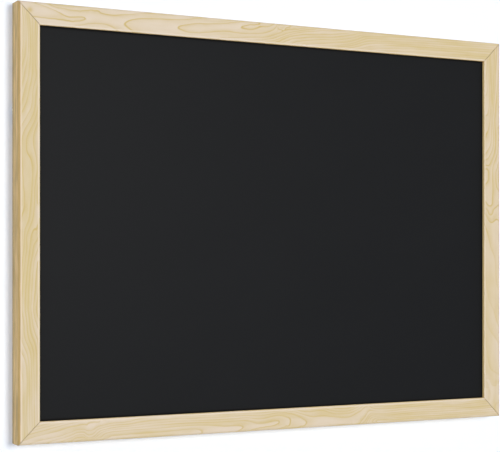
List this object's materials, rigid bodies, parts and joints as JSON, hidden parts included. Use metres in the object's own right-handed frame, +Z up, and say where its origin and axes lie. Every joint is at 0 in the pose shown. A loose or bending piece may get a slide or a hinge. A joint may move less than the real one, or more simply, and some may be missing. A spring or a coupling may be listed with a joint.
{
  "type": "wall chalkboard",
  "caption": "Landscape wall chalkboard: matt black writing panel in a mitred pine frame, with swinging D-ring hangers and rubber pads on the back.",
  "frame": {"origin": "on the wall plane, behind the centre of the board", "axes": "+X to the right as the board is read, +Y into the wall, +Z up; the writing face looks along -Y"},
  "size_m": [0.6, 0.024, 0.45],
  "materials": {
    "pine": "satin",
    "chalk_lacquer": "matte",
    "softboard": "matte",
    "hardboard": "matte",
    "zinc_steel": "satin",
    "nickel_steel": "polished",
    "rubber": "matte"
  },
  "bodies": {
    "board": {"back_panel": "hardboard", "bottom_rail": "pine", "core_board": "softboard", "hanger_screw_left_lower": "zinc_steel", "hanger_screw_left_upper": "zinc_steel", "hanger_screw_right_lower": "zinc_steel", "hanger_screw_right_upper": "zinc_steel", "hanger_strap_left": "zinc_steel", "hanger_strap_right": "zinc_steel", "left_stile": "pine", "panel_point_bottom_1": "zinc_steel", "panel_point_bottom_2": "zinc_steel", "panel_point_bottom_3": "zinc_steel", "panel_point_bottom_4": "zinc_steel", "panel_point_left_1": "zinc_steel", "panel_point_left_2": "zinc_steel", "panel_point_left_3": "zinc_steel", "panel_point_right_1": "zinc_steel", "panel_point_right_2": "zinc_steel", "panel_point_right_3": "zinc_steel", "panel_point_top_1": "zinc_steel", "panel_point_top_2": "zinc_steel", "panel_point_top_3": "zinc_steel", "panel_point_top_4": "zinc_steel", "right_stile": "pine", "top_rail": "pine", "v_nail_bottom_left_inner": "zinc_steel", "v_nail_bottom_left_outer": "zinc_steel", "v_nail_bottom_right_inner": "zinc_steel", "v_nail_bottom_right_outer": "zinc_steel", "v_nail_top_left_inner": "zinc_steel", "v_nail_top_left_outer": "zinc_steel", "v_nail_top_right_inner": "zinc_steel", "v_nail_top_right_outer": "zinc_steel", "wall_pad_bottom_left": "rubber", "wall_pad_bottom_right": "rubber", "wall_pad_top_left": "rubber", "wall_pad_top_right": "rubber", "writing_panel": "chalk_lacquer"},
    "left_ring": {"hanger_ring_left": "nickel_steel"},
    "right_ring": {"hanger_ring_right": "nickel_steel"}
  },
  "joints": [
    {"name": "left_ring_swing", "type": "hinge", "parent": "board", "child": "left_ring", "pos_m": [-0.292, -0.00195, 0.12], "axis": [1, 0, 0], "range_deg": [0, 180]},
    {"name": "right_ring_swing", "type": "hinge", "parent": "board", "child": "right_ring", "pos_m": [0.292, -0.00195, 0.12], "axis": [1, 0, 0], "range_deg": [0, 180]}
  ]
}
